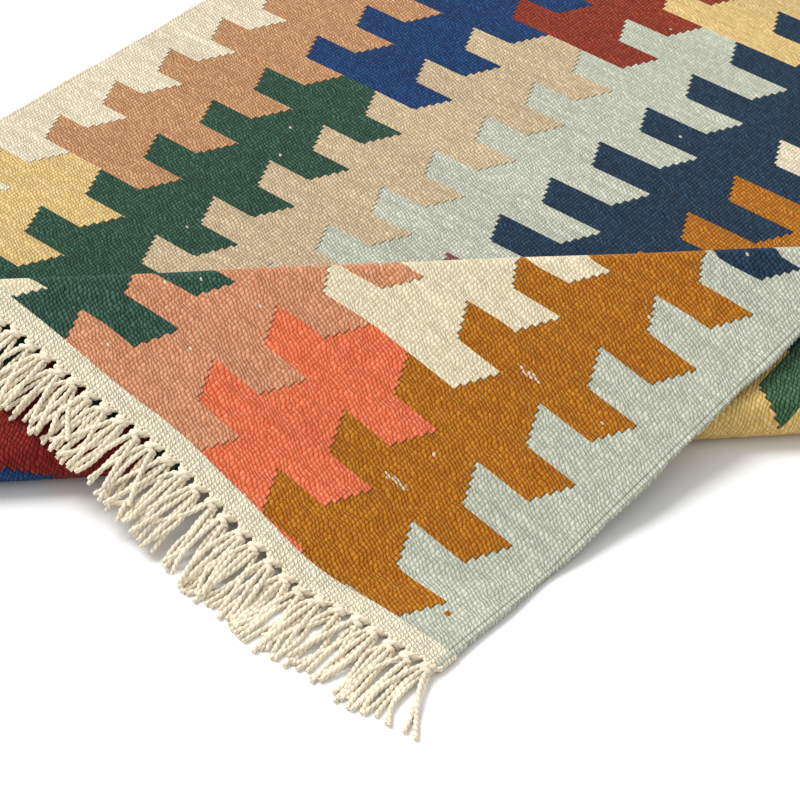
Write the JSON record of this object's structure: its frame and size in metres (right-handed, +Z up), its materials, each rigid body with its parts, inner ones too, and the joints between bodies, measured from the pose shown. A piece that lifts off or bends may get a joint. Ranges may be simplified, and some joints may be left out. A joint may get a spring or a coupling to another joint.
{
  "type": "area rug",
  "caption": "Flat-woven wool kilim laid flat with one corner folded back in a low Z, with cotton end bands and knotted tassels.",
  "frame": {"origin": "on the floor, under the middle of the rug's bounding box", "axes": "+Y along the rug's length, away from the end with the folded corner; +X towards the long side whose corner is folded; +Z up"},
  "size_m": [0.8004, 1.6174, 0.0737],
  "materials": {
    "wool_field": "matte",
    "wool_selvage": "matte",
    "cotton": "matte"
  },
  "bodies": {
    "root": {"woven_field": "wool_field", "selvage_right": "wool_selvage", "selvage_left": "wool_selvage", "end_band_folded": "cotton", "end_band_far": "cotton", "tassels_folded_01": "cotton", "tassels_far_01": "cotton", "tassels_folded_02": "cotton", "tassels_far_02": "cotton", "tassels_folded_03": "cotton", "tassels_far_03": "cotton", "tassels_folded_04": "cotton", "tassels_far_04": "cotton", "tassels_folded_05": "cotton", "tassels_far_05": "cotton", "tassels_folded_06": "cotton", "tassels_far_06": "cotton", "tassels_folded_07": "cotton", "tassels_far_07": "cotton", "tassels_folded_08": "cotton", "tassels_far_08": "cotton", "tassels_folded_09": "cotton", "tassels_far_09": "cotton", "tassels_folded_10": "cotton", "tassels_far_10": "cotton", "tassels_folded_11": "cotton", "tassels_far_11": "cotton", "tassels_folded_12": "cotton", "tassels_far_12": "cotton", "tassels_folded_13": "cotton", "tassels_far_13": "cotton", "tassels_folded_14": "cotton", "tassels_far_14": "cotton", "tassels_folded_15": "cotton", "tassels_far_15": "cotton", "tassels_folded_16": "cotton", "tassels_far_16": "cotton", "tassels_folded_17": "cotton", "tassels_far_17": "cotton", "tassels_folded_18": "cotton", "tassels_far_18": "cotton", "tassels_folded_19": "cotton", "tassels_far_19": "cotton", "tassels_folded_20": "cotton", "tassels_far_20": "cotton"}
  },
  "joints": []
}
